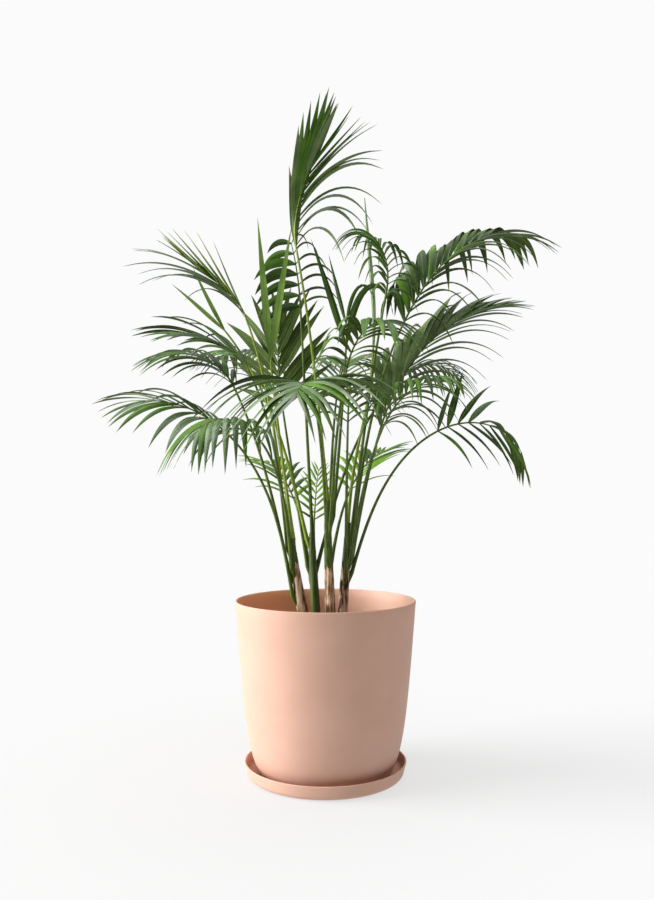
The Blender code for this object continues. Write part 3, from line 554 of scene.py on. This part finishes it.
# Fronds. Each leaves its stem at a height, on a heading: 0 is +X, 90 is +Y. Its lean from upright is given at
# foot, neck, middle and tip, and roll turns the blade about its rib. The stalk, the blade and the longest
# leaflet are lengths in metres. A row is the leaflets on one hand of the rib: the spread at which they set
# out from it, their lift above the frond's plane and their droop, each for the first leaflet and the last.
# A row's width is a share of the usual one, and its leaflets lie in the plane of the rib and themselves by
# the share flat, and otherwise level. It has its frond's tone if it names none. A frond with no left row has
# the same row on both hands.
fronds = {
    "top": {
        "stem": "middle_right", "height": 0.546, "heading": 152, "leans": (6, 12, -14, -28), "roll": -38,
        "stalk": 0.512, "blade": 0.17, "leaflet": 0.225, "pairs": 12, "tone": "olive", "skin": "stalk",
        "right": {"spread": (36, 16), "lift": (14, 20), "droop": (2.3, -0.5), "width": 0.85, "flat": 0},
        "left": {"spread": (-3, 1), "lift": (0, 2), "droop": (0, 0), "width": 1, "flat": 0.6},
    },
    "right_high": {
        "stem": "right", "height": 0.475, "heading": 18, "leans": (8, 27, 48, 92), "roll": 0,
        "stalk": 0.45, "blade": 0.35, "leaflet": 0.2, "pairs": 15, "tone": "deep", "skin": "darkStalk",
        "right": {"spread": (54, 22), "lift": (-10, 5), "droop": (2.4, 1), "width": 0.8, "flat": 0},
        "left": {"spread": (36, 26), "lift": (78, 40), "droop": (2.4, 2.2), "width": 1.25, "flat": 1},
    },
    "right_middle": {
        "stem": "right", "height": 0.428, "heading": 20, "leans": (11, 18, 42, 74), "roll": 0,
        "stalk": 0.27, "blade": 0.38, "leaflet": 0.2, "pairs": 15, "tone": "deep", "skin": "darkStalk",
        "right": {"spread": (50, 14), "lift": (-16, -5), "droop": (2, 0.5), "width": 0.9, "flat": 0},
        # The left row's lighter olive tone is painted light: it lightens the leaflets of a row that faces
        # away from the key light.
        "left": {
            "spread": (24, 4), "lift": (80, 40), "droop": (1.4, 0.2), "width": 1.3, "flat": 0.7,
            "tone": "olive",
        },
    },
    "right_back": {
        "stem": "middle_left", "height": 0.42, "heading": 24, "leans": (16, 44, 80, 124), "roll": 0,
        "stalk": 0.42, "blade": 0.17, "leaflet": 0.12, "pairs": 10, "tone": "middle", "skin": "darkStalk",
        "right": {"spread": (54, 20), "lift": (30, 30), "droop": (2.6, 1.6), "width": 0.9, "flat": 0.2},
        "left": {"spread": (54, 20), "lift": (0, 0), "droop": (2.6, 1.6), "width": 0.7, "flat": 0.2},
    },
    "right_low": {
        "stem": "right", "height": 0.4, "heading": 12, "leans": (17, 62, 100, 154), "roll": 20,
        "stalk": 0.345, "blade": 0.22, "leaflet": 0.14, "pairs": 9, "tone": "deep", "skin": "darkStalk",
        "right": {"spread": (50, 20), "lift": (-56, -30), "droop": (1.5, 1), "width": 0.9, "flat": 0.6},
        "left": {"spread": (54, 24), "lift": (84, -70), "droop": (0.1, 2), "width": 1.1, "flat": 0.9},
    },
    "right_front": {
        "stem": "right", "height": 0.43, "heading": -44, "leans": (12, 30, 60, 96), "roll": 0,
        "stalk": 0.27, "blade": 0.18, "leaflet": 0.13, "pairs": 10, "tone": "middle", "skin": "darkStalk",
        "right": {"spread": (50, 20), "lift": (40, 40), "droop": (3, 2), "width": 0.9, "flat": 0.2},
        "left": {"spread": (52, 20), "lift": (0, 0), "droop": (2.6, 1.6), "width": 0.8, "flat": 0.2},
    },
    "back_right_high": {
        "stem": "right", "height": 0.485, "heading": 318, "leans": (9, 14, -22, -72), "roll": 0,
        "stalk": 0.47, "blade": 0.15, "leaflet": 0.13, "pairs": 11, "tone": "middle", "skin": "darkStalk",
        "right": {"spread": (60, 20), "lift": (-10, -10), "droop": (2.4, 1.6), "width": 0.7, "flat": 0},
        "left": {"spread": (60, 22), "lift": (-10, -10), "droop": (2.4, 1.6), "width": 0.7, "flat": 0},
    },
    "front_centre": {
        "stem": "middle_right", "height": 0.5, "heading": 300, "leans": (6, 22, 66, 112), "roll": 0,
        "stalk": 0.3, "blade": 0.18, "leaflet": 0.15, "pairs": 10, "tone": "middle", "skin": "darkStalk",
        "right": {"spread": (56, 20), "lift": (15, 15), "droop": (2.2, 1.6), "width": 0.95, "flat": 0.2},
        "left": {"spread": (60, 20), "lift": (15, 15), "droop": (2.6, 1.6), "width": 0.95, "flat": 0.2},
    },
    "front_low": {
        "stem": "middle_right", "height": 0.44, "heading": 262, "leans": (16, 60, 92, 124), "roll": 0,
        "stalk": 0.335, "blade": 0.18, "leaflet": 0.23, "pairs": 12, "tone": "grey", "skin": "darkStalk",
        "right": {"spread": (64, 24), "lift": (12, 12), "droop": (1.8, 1.2), "width": 0.95, "flat": 0.5},
        "left": {"spread": (64, 24), "lift": (12, 12), "droop": (1.6, 1), "width": 0.95, "flat": 0.5},
    },
    "front_right_low": {
        "stem": "right", "height": 0.4, "heading": 272, "leans": (8, 24, 60, 100), "roll": 0,
        "stalk": 0.3, "blade": 0.15, "leaflet": 0.12, "pairs": 9, "tone": "middle", "skin": "darkStalk",
        "right": {"spread": (50, 20), "lift": (15, 15), "droop": (1.6, 1), "width": 1, "flat": 0.3},
    },
    "back_right": {
        "stem": "middle_right", "height": 0.48, "heading": 78, "leans": (8, 28, 58, 92), "roll": 0,
        "stalk": 0.28, "blade": 0.22, "leaflet": 0.17, "pairs": 12, "tone": "middle", "skin": "darkStalk",
        "right": {"spread": (50, 20), "lift": (20, 20), "droop": (1.4, 0.8), "width": 0.9, "flat": 0.2},
    },
    "back_low_right": {
        "stem": "middle_right", "height": 0.43, "heading": 58, "leans": (20, 42, 58, 76), "roll": 0,
        "stalk": 0.15, "blade": 0.17, "leaflet": 0.13, "pairs": 9, "tone": "fresh", "skin": "darkStalk",
        "right": {"spread": (48, 19), "lift": (15, 15), "droop": (0.7, 0.3), "width": 1, "flat": 0.5},
    },
    "back_small": {
        "stem": "middle_left", "height": 0.45, "heading": 80, "leans": (6, 14, 24, 40), "roll": 0,
        "stalk": 0.05, "blade": 0.12, "leaflet": 0.06, "pairs": 8, "tone": "fresh", "skin": "stalk",
        "right": {"spread": (58, 23), "lift": (15, 15), "droop": (0.4, 0.2), "width": 1, "flat": 0.9},
    },
    "back_left": {
        "stem": "middle_left", "height": 0.41, "heading": 160, "leans": (10, 9, 4, -4), "roll": 90,
        "stalk": 0.325, "blade": 0.16, "leaflet": 0.175, "pairs": 7, "tone": "deep", "skin": "darkStalk",
        "right": {"spread": (54, 14), "lift": (10, 10), "droop": (0.3, 0.2), "width": 1.3, "flat": 1},
    },
    "back_low_left": {
        "stem": "middle_left", "height": 0.38, "heading": 120, "leans": (16, 40, 58, 82), "roll": 0,
        "stalk": 0.18, "blade": 0.17, "leaflet": 0.12, "pairs": 9, "tone": "fresh", "skin": "darkStalk",
        "right": {"spread": (48, 19), "lift": (15, 15), "droop": (0.8, 0.4), "width": 1, "flat": 0.5},
    },
    "left_back": {
        "stem": "left", "height": 0.425, "heading": 120, "leans": (8, 40, 64, 104), "roll": 0,
        "stalk": 0.38, "blade": 0.26, "leaflet": 0.18, "pairs": 12, "tone": "middle", "skin": "darkStalk",
        "right": {"spread": (50, 20), "lift": (18, 18), "droop": (1.6, 0.9), "width": 0.95, "flat": 0.3},
    },
    "left_high": {
        "stem": "left", "height": 0.455, "heading": 160, "leans": (6, 22, 46, 50), "roll": 0,
        "stalk": 0.475, "blade": 0.13, "leaflet": 0.225, "pairs": 8, "tone": "deep", "skin": "stalk",
        "right": {
            "spread": (2, 1), "lift": (-16, 6), "droop": (0, 0), "width": 1.3, "flat": 1,
            "tone": "lime",
        },
        "left": {"spread": (46, 14), "lift": (-8, -4), "droop": (1.5, 0.2), "width": 0.95, "flat": 0.3},
    },
    "left_high_front": {
        "stem": "left", "height": 0.45, "heading": 205, "leans": (6, 26, 62, 84), "roll": 0,
        "stalk": 0.35, "blade": 0.14, "leaflet": 0.18, "pairs": 9, "tone": "middle", "skin": "darkStalk",
        "right": {"spread": (44, 16), "lift": (35, 20), "droop": (1, 0.6), "width": 0.9, "flat": 0.5},
        "left": {"spread": (44, 16), "lift": (-25, -10), "droop": (1, 0.6), "width": 0.95, "flat": 0.5},
    },
    "left_middle": {
        "stem": "left", "height": 0.4, "heading": 176, "leans": (12, 26, 60, 90), "roll": 0,
        "stalk": 0.39, "blade": 0.14, "leaflet": 0.165, "pairs": 9, "tone": "deep", "skin": "darkStalk",
        "right": {"spread": (46, 20), "lift": (24, 14), "droop": (1.4, 0.9), "width": 0.9, "flat": 0.4},
        "left": {"spread": (50, 24), "lift": (-16, -6), "droop": (1.6, 0.9), "width": 0.9, "flat": 0.4},
    },
    "left_low": {
        "stem": "left", "height": 0.355, "heading": 200, "leans": (10, 46, 68, 96), "roll": -15,
        "stalk": 0.345, "blade": 0.18, "leaflet": 0.17, "pairs": 8, "tone": "grey", "skin": "darkStalk",
        "right": {"spread": (44, 18), "lift": (15, 15), "droop": (1.2, 0.7), "width": 0.9, "flat": 0.5},
        "left": {"spread": (54, 18), "lift": (-10, 0), "droop": (2.4, 0.6), "width": 1.05, "flat": 0.5},
    },
    "front_left": {
        "stem": "left", "height": 0.415, "heading": 240, "leans": (8, 58, 86, 122), "roll": 0,
        "stalk": 0.28, "blade": 0.18, "leaflet": 0.18, "pairs": 9, "tone": "grey", "skin": "darkStalk",
        "right": {"spread": (54, 21), "lift": (10, 10), "droop": (2.6, 2), "width": 0.9, "flat": 0.3},
        "left": {"spread": (54, 21), "lift": (10, 10), "droop": (2.6, 2), "width": 0.8, "flat": 0.4},
    },
    "centre_left": {
        "stem": "middle_left", "height": 0.48, "heading": 185, "leans": (3, 3, 8, 14), "roll": -90,
        "stalk": 0.455, "blade": 0.135, "leaflet": 0.11, "pairs": 6, "tone": "deep", "skin": "darkStalk",
        "right": {"spread": (60, 40), "lift": (10, 10), "droop": (1.8, 3), "width": 0.6, "flat": 0.5},
        "left": {"spread": (84, 60), "lift": (10, 10), "droop": (1.4, 2.2), "width": 1.8, "flat": 1},
    },
    "young_left": {
        "stem": "left", "height": 0.47, "heading": 180, "leans": (8, 6, -14, -8), "roll": 90,
        "stalk": 0.35, "blade": 0.03, "leaflet": 0.3, "pairs": 1, "tone": "young", "skin": "stalk",
        "right": {"spread": (6.5, 6.5), "lift": (0, 0), "droop": (0, 0), "width": 0.6, "flat": 1},
    },
    "young_left_low": {
        "stem": "middle_left", "height": 0.468, "heading": 178, "leans": (13, 38, 44, 46), "roll": 90,
        "stalk": 0.452, "blade": 0.03, "leaflet": 0.16, "pairs": 1, "tone": "lime", "skin": "stalk",
        "right": {"spread": (8, 8), "lift": (0, 0), "droop": (0, 0), "width": 0.55, "flat": 1},
    },
    "centre_right": {
        "stem": "middle_right", "height": 0.515, "heading": 0, "leans": (5, 3, 0, 0), "roll": 90,
        "stalk": 0.33, "blade": 0.05, "leaflet": 0.26, "pairs": 2, "tone": "deep", "skin": "darkStalk",
        "right": {"spread": (4, 8), "lift": (0, 0), "droop": (1.4, 1.4), "width": 0.6, "flat": 1},
        "left": {"spread": (18, 12), "lift": (0, 0), "droop": (0.1, 0.1), "width": 0.6, "flat": 1},
    },
}
# A stalk's radii, the share of its buried length at which its lowest rings stand, the swelling with which it
# clasps the stem, and the run below the blade over which the blade's roll comes on
stalkShape = {
    "foot": 0.0036, "neck": 0.0021, "tip": 0.0008, "sides": 10, "step": 0.004, "every": 3, "gap": 0.0009,
    "sink": 0.05, "sunk": (0.0, 0.3, 0.55, 0.75, 0.9), "sunkFoot": 0.9, "sunkRise": 0.3,
    "clasp": 0.0009, "claspRun": 0.018, "rollRun": 0.06,
}


def leanAt(frond, run):
    # The lean from upright after a run: it grows along the stalk, then curves through neck, middle and tip
    foot, neck, middle, tip = frond["leans"]
    if run < frond["stalk"]:
        return foot + (neck - foot) * (max(0.0, run) / frond["stalk"]) ** 2
    share = (run - frond["stalk"]) / frond["blade"]
    return neck + (4 * middle - 3 * neck - tip) * share + 2 * (neck + tip - 2 * middle) * share * share


def frameAt(frond, run):
    # The way ahead, the upper side and the right-hand side of the frond after a run along it
    heading = math.radians(frond["heading"])
    lean = math.radians(leanAt(frond, run))
    out = Vector((math.cos(heading), math.sin(heading), 0))
    up = Vector((0, 0, 1))
    ahead = out * math.sin(lean) + up * math.cos(lean)
    over = up * math.sin(lean) - out * math.cos(lean)
    side = ahead.cross(over)
    rollRun = stalkShape["rollRun"]
    turned = min(1.0, max(0.0, run - frond["stalk"] + rollRun) / rollRun)
    roll = math.radians(frond["roll"]) * turned
    return ahead, over * math.cos(roll) + side * math.sin(roll), side * math.cos(roll) - over * math.sin(roll)


def frondFoot(frond):
    # A frond leaves its stem just outside the sheath, or out of the very top
    stem = stems[frond["stem"]]
    middle, radius = stemAtHeight(stem, frond["height"])
    if frond["height"] >= stem["places"][-1][2]:
        return middle
    heading = math.radians(frond["heading"])
    reach = radius + stalkShape["foot"] + stalkShape["gap"]
    return middle + Vector((math.cos(heading), math.sin(heading), 0)) * reach


def frondLine(frond):
    # The frond's line in short steps from foot to tip, as runs and places
    total = frond["stalk"] + frond["blade"]
    count = round(total / stalkShape["step"])
    place = frondFoot(frond)
    runs = [0.0]
    places = [place]
    for index in range(count):
        run = total * (index + 0.5) / count
        place = place + frameAt(frond, run)[0] * (total / count)
        runs.append(total * (index + 1) / count)
        places.append(place)
    return runs, places


def placeAt(frond, run):
    runs, places = frond["line"]
    share = run / runs[-1] * (len(runs) - 1)
    index = min(int(share), len(runs) - 2)
    return places[index].lerp(places[index + 1], share - index)


def ringTube(places, radii, sides, corners, faces):
    # Adds a closed tube to the lists of corners and faces
    first = len(corners)
    across = None
    for index, place in enumerate(places):
        ahead = (places[min(index + 1, len(places) - 1)] - places[max(index - 1, 0)]).normalized()
        across = ahead.orthogonal() if across is None else across - ahead * across.dot(ahead)
        across.normalize()
        over = ahead.cross(across)
        for side in range(sides):
            angle = math.tau * side / sides
            corners.append(place + (across * math.cos(angle) + over * math.sin(angle)) * radii[index])
    for index in range(len(places) - 1):
        near = first + index * sides
        for side in range(sides):
            after = (side + 1) % sides
            faces.append((near + side, near + after, near + sides + after, near + sides + side))
    faces.append(tuple(first + side for side in reversed(range(sides))))
    last = len(corners) - sides
    faces.append(tuple(range(last, last + sides)))


def makeStalk(frond):
    # The stalk rises out of its stem's sheath, swollen where it clasps it, and runs on as the rib to the tip
    stem = stems[frond["stem"]]
    foot = frond["line"][1][0]
    low = stemAtHeight(stem, frond["height"] - stalkShape["sink"])[0]
    runs, line = frond["line"]
    places = []
    radii = []
    for share in stalkShape["sunk"]:
        place = low.lerp(foot, share * share * (2 - share))
        place.z = mixed(low.z, foot.z, share)
        places.append(place)
        radii.append(stalkShape["foot"] * (stalkShape["sunkFoot"] + stalkShape["sunkRise"] * share))
    every = stalkShape["every"]
    for run, place in zip(runs[::every] + runs[-1:], line[::every] + line[-1:]):
        if run < frond["stalk"]:
            radius = mixed(stalkShape["foot"], stalkShape["neck"], run / frond["stalk"])
            radius += stalkShape["clasp"] * math.exp(-run / stalkShape["claspRun"])
        else:
            radius = mixed(stalkShape["neck"], stalkShape["tip"], (run - frond["stalk"]) / frond["blade"])
        places.append(place)
        radii.append(radius)
    corners = []
    faces = []
    ringTube(places, radii, stalkShape["sides"], corners, faces)
    name = "stalk_" + frond["name"]
    meshPiece(name + "_rib", corners, faces, [frond["skin"]], [0] * len(faces), [name], smooth=60)


# Leaflets: closed thin blades with a raised midrib, their halves folded down a little from it. The longest
# stand at the share peak of the frond's blade, and the first and last are shorter by footLoss and tipLoss. A
# frond with more than fewest pairs gets more of them than it has in the table.
leaflet = {
    "leastWidth": 0.0015, "widthShare": 0.092, "peak": 0.38, "footLoss": 0.25, "tipLoss": 0.45,
    "droopPower": 1.3, "steps": 16, "thickness": 0.0009, "ribWidth": 0.0011, "ribRise": 0.0005,
    "ribTaper": 1.1, "fold": 20, "unfold": 0.6, "hollow": 0.4, "bow": 0.1, "rooted": 0.5, "shut": 0.35,
    "more": 1.15, "fewest": 3, "firstPair": 0.0054, "lastPair": 0.985,
}
# The outline of a leaflet: its width at the foot, the shares of its length between which it is widest, how
# fast it narrows after that, and how drawn out its tip is
leafOutline = {"foot": 0.24, "wideFrom": 0.30, "wideTo": 0.36, "narrowing": 1.9, "drawn": 0.22}
# How far one leaflet differs from the next by chance: factors, angles in degrees, and how often
variety = {
    "length": (0.92, 1.03), "droop": (0.85, 1.2), "spread": (-4, 4), "lift": (-6, 6), "twist": (-16, 16),
    "fold": (0.5, 1.3), "bow": (-1, 1), "width": (0.88, 1.1), "usual": 0.68, "dryTip": 0.14,
    "longerDryTip": 0.05,
}
ribColumn = 0.09
columns = (-1.0, -0.55, -ribColumn, ribColumn, 0.55, 1.0)
midribFaces = (2, 7)  # of the faces round a leaflet, those between the two rib columns


def leafletLength(frond, share):
    peak = leaflet["peak"]
    if share < peak:
        return frond["leaflet"] * (1 - leaflet["footLoss"] * ((peak - share) / peak) ** 2)
    return frond["leaflet"] * (1 - leaflet["tipLoss"] * ((share - peak) / (1 - peak)) ** 2)


def widthAt(share):
    # A lance-shaped outline: narrow at its foot, widest before the middle, with a long drawn-out tip
    foot = leafOutline["foot"]
    rise = foot + (1 - foot) * math.sin(min(1.0, share / leafOutline["wideFrom"]) * math.pi / 2)
    fall = max(0.0, share - leafOutline["wideTo"]) / (1 - leafOutline["wideTo"])
    return rise * (1 - fall**leafOutline["narrowing"]) * (1 - leafOutline["drawn"] * fall)


def bladeRing(place, flat, top, half, t, bend):
    # One ring round a leaflet, over its upper side and back under it, each corner with its place across
    ring = []
    hollow = leaflet["hollow"]
    spine = leaflet["ribWidth"] * (leaflet["ribTaper"] - t) / 2
    for column, upward in [(c, 1) for c in columns] + [(c, -1) for c in reversed(columns[1:-1])]:
        inset = abs(column)
        height = -math.sin(bend) * half * inset * (1 - hollow + hollow * inset)
        across = column * half * math.cos(bend)
        if inset == ribColumn:
            height += upward * leaflet["ribRise"] * (1 - t)
            across = math.copysign(min(spine, half / 2), column)
        height += upward * leaflet["thickness"] / 2 * (1 - inset**3)
        ring.append((place + flat * across + top * height, across))
    return ring


def growLeaflet(frond, run, hand, row, chance, mesh):
    # One leaflet from its foot on the rib, in rings that bend down more and more, closed at its tip
    ahead, over, side = frameAt(frond, run)
    share = (run - frond["stalk"]) / frond["blade"]
    length = leafletLength(frond, share) * chance.uniform(*variety["length"])
    droop = mixed(*row["droop"], share) * chance.uniform(*variety["droop"])
    out = math.radians(mixed(*row["spread"], share) + chance.uniform(*variety["spread"]))
    rise = math.radians(mixed(*row["lift"], share) + chance.uniform(*variety["lift"]))
    twist = math.radians(chance.uniform(*variety["twist"]))
    fold = math.radians(leaflet["fold"] * chance.uniform(*variety["fold"]))
    bow = leaflet["bow"] * chance.uniform(*variety["bow"])
    away = side * hand * math.cos(rise) + over * math.sin(rise)
    start = ahead * math.cos(out) + away * math.sin(out)
    # The long side that faces the frond's tip, or the rib where the leaflet is nearly shut against it
    edge = ahead - away * max(0.0, 1 - math.sin(out) / leaflet["shut"])
    level = Vector((0, 0, 1)).cross(start).normalized()
    if level.dot(edge) < 0:
        level = -level
    ribRadius = mixed(stalkShape["neck"], stalkShape["tip"], share)
    place = placeAt(frond, run) + start.normalized() * ribRadius * leaflet["rooted"]
    width = (leaflet["leastWidth"] + leaflet["widthShare"] * length) * row["width"]
    width *= chance.uniform(*variety["width"])
    steps = leaflet["steps"]
    dryFrom = steps - (chance.random() < variety["dryTip"]) - (chance.random() < variety["longerDryTip"])
    usual, other, under = row["picks"]
    upper = usual if chance.random() < variety["usual"] else other
    first = len(mesh["corners"])
    way = start.normalized()
    for index in range(steps):
        t = index / steps
        if index:
            way = start + Vector((0, 0, -1)) * droop * (t - 0.5 / steps) ** leaflet["droopPower"]
            way = (way + flat * bow * t).normalized()
            place = place + way * (length / steps)
        inside = (edge - way * edge.dot(way)).normalized()
        flat = inside * row["flat"] + level * (1 - row["flat"])
        flat = (flat - way * flat.dot(way)).normalized() * hand
        top = way.cross(flat)
        turned = flat * math.cos(twist * t) + top * math.sin(twist * t)
        raised = top * math.cos(twist * t) - flat * math.sin(twist * t)
        bend = fold * (1 - leaflet["unfold"] * t)
        for corner, across in bladeRing(place, turned, raised, width / 2 * widthAt(t), t, bend):
            mesh["corners"].append(corner)
            mesh["across"].append((across, t * length))
    mesh["corners"].append(place + way * (length / steps))
    mesh["across"].append((0.0, length))
    ringSize = 2 * len(columns) - 2
    tip = len(mesh["corners"]) - 1
    for index in range(steps):
        near = first + index * ringSize
        for corner in range(ringSize):
            after = (corner + 1) % ringSize
            beyond = (near + ringSize + after, near + ringSize + corner) if index < steps - 1 else (tip,)
            mesh["faces"].append((near + corner, near + after) + beyond)
            if index >= dryFrom:
                mesh["picks"].append(1)  # dryTip
            elif corner in midribFaces:
                mesh["picks"].append(0)  # midrib
            else:
                mesh["picks"].append(upper if corner < len(columns) - 1 else under)
    mesh["faces"].append(tuple(first + corner for corner in reversed(range(ringSize))))
    mesh["picks"].append(under)


# The finishes of a frond's leaflets by its tone: two for the upper sides, one for the undersides
tones = {
    "deep": ("deep", "middle", "under"),
    "middle": ("middle", "deep", "under"),
    "fresh": ("fresh", "middle", "fresh"),
    "young": ("young", "middle", "young"),
    "lime": ("lime", "young", "young"),
    "olive": ("olive", "middle", "olive"),
    "grey": ("grey", "middle", "under"),
}


def makeLeaflets(frond, seed):
    chance = random.Random(seed)
    mesh = {"corners": [], "across": [], "faces": [], "picks": []}
    pairs = frond["pairs"]
    if pairs > leaflet["fewest"]:
        pairs = round(pairs * leaflet["more"])
    start = frond["stalk"] + leaflet["firstPair"]
    end = frond["stalk"] + frond["blade"] * leaflet["lastPair"]
    finishes = ["midrib", "dryTip"]
    for row in (frond["right"], frond["left"]):
        wanted = tones[row.get("tone", frond["tone"])]
        finishes += [finish for finish in wanted if finish not in finishes]
        row["picks"] = [finishes.index(finish) for finish in wanted]
    for pair in range(pairs):
        run = mixed(start, end, pair / max(1, pairs - 1))
        for hand, row in ((1, frond["right"]), (-1, frond["left"])):
            growLeaflet(frond, run, hand, row, chance, mesh)
    name = "leaflets_" + frond["name"]
    node = "frond_" + frond["name"]
    corners, faces, picks = mesh["corners"], mesh["faces"], mesh["picks"]
    piece = meshPiece(name, corners, faces, finishes, picks, [node], smooth=50)
    places = piece.data.uv_layers.new(name="leafPlace").data
    for loop, place in zip(piece.data.loops, places):
        place.uv = mesh["across"][loop.vertex_index]
    return len(faces)


faceCount = 0
for seed, (name, frond) in enumerate(fronds.items(), start=1):
    frond["name"] = name
    frond["line"] = frondLine(frond)
    frond.setdefault("left", frond["right"])
    makeStalk(frond)
    faceCount += makeLeaflets(frond, seed)
print("fronds made:", faceCount, "faces of leaflets")

# The youngest leaf is still folded shut: a slender pleated spindle on its stalk, on top of the right stem.
# Its lean is given at runs along it, and its thickness follows a part of half a wave.
spear = {
    "stalk": 0.36, "blade": 0.30, "step": 0.01,
    "runs": (0.0, 0.18, 0.33, 0.48, 0.66), "leans": (3, 13, 5, -5, -5),
    "radius": 0.0045, "least": 0.0008, "waveFrom": 0.2, "waveRun": 0.75, "pleats": 7, "pleatDepth": 0.22,
}


def between(runs, values, run):
    for low, high, lowValue, highValue in zip(runs, runs[1:], values, values[1:]):
        if run <= high:
            return mixed(lowValue, highValue, (run - low) / (high - low))
    return values[-1]


def makeSpear():
    count = round((spear["stalk"] + spear["blade"]) / spear["step"])
    neck = round(spear["stalk"] / spear["step"])
    places = [Vector(stems["right"]["places"][-1])]
    for index in range(count):
        lean = math.radians(between(spear["runs"], spear["leans"], (index + 0.5) * spear["step"]))
        places.append(places[-1] + Vector((math.sin(lean), 0, math.cos(lean))) * spear["step"])
    corners = []
    faces = []
    radii = [mixed(stalkShape["foot"], stalkShape["neck"], index / neck) for index in range(neck + 1)]
    ringTube(places[:neck + 1], radii, stalkShape["sides"], corners, faces)
    picks = [0] * len(faces)
    meshPiece("stalk_spear_skin", corners, faces, ["stalk"], picks, ["stalk_spear"], smooth=60)
    corners = []
    faces = []
    sides = 2 * spear["pleats"]
    blade = places[neck:]
    radii = []
    for index in range(len(blade)):
        share = index / (len(blade) - 1)
        wave = math.sin(math.pi * (spear["waveFrom"] + spear["waveRun"] * share))
        radii.append(max(spear["least"], spear["radius"] * wave))
    ringTube(blade, radii, sides, corners, faces)
    for index, corner in enumerate(corners):
        ring, side = divmod(index, sides)
        if side % 2:
            corners[index] = corner.lerp(blade[ring], spear["pleatDepth"])
    picks = [0] * len(faces)
    meshPiece("spear_blade", corners, faces, ["pale"], picks, ["frond_spear"], smooth=30)


makeSpear()
print("spear made")
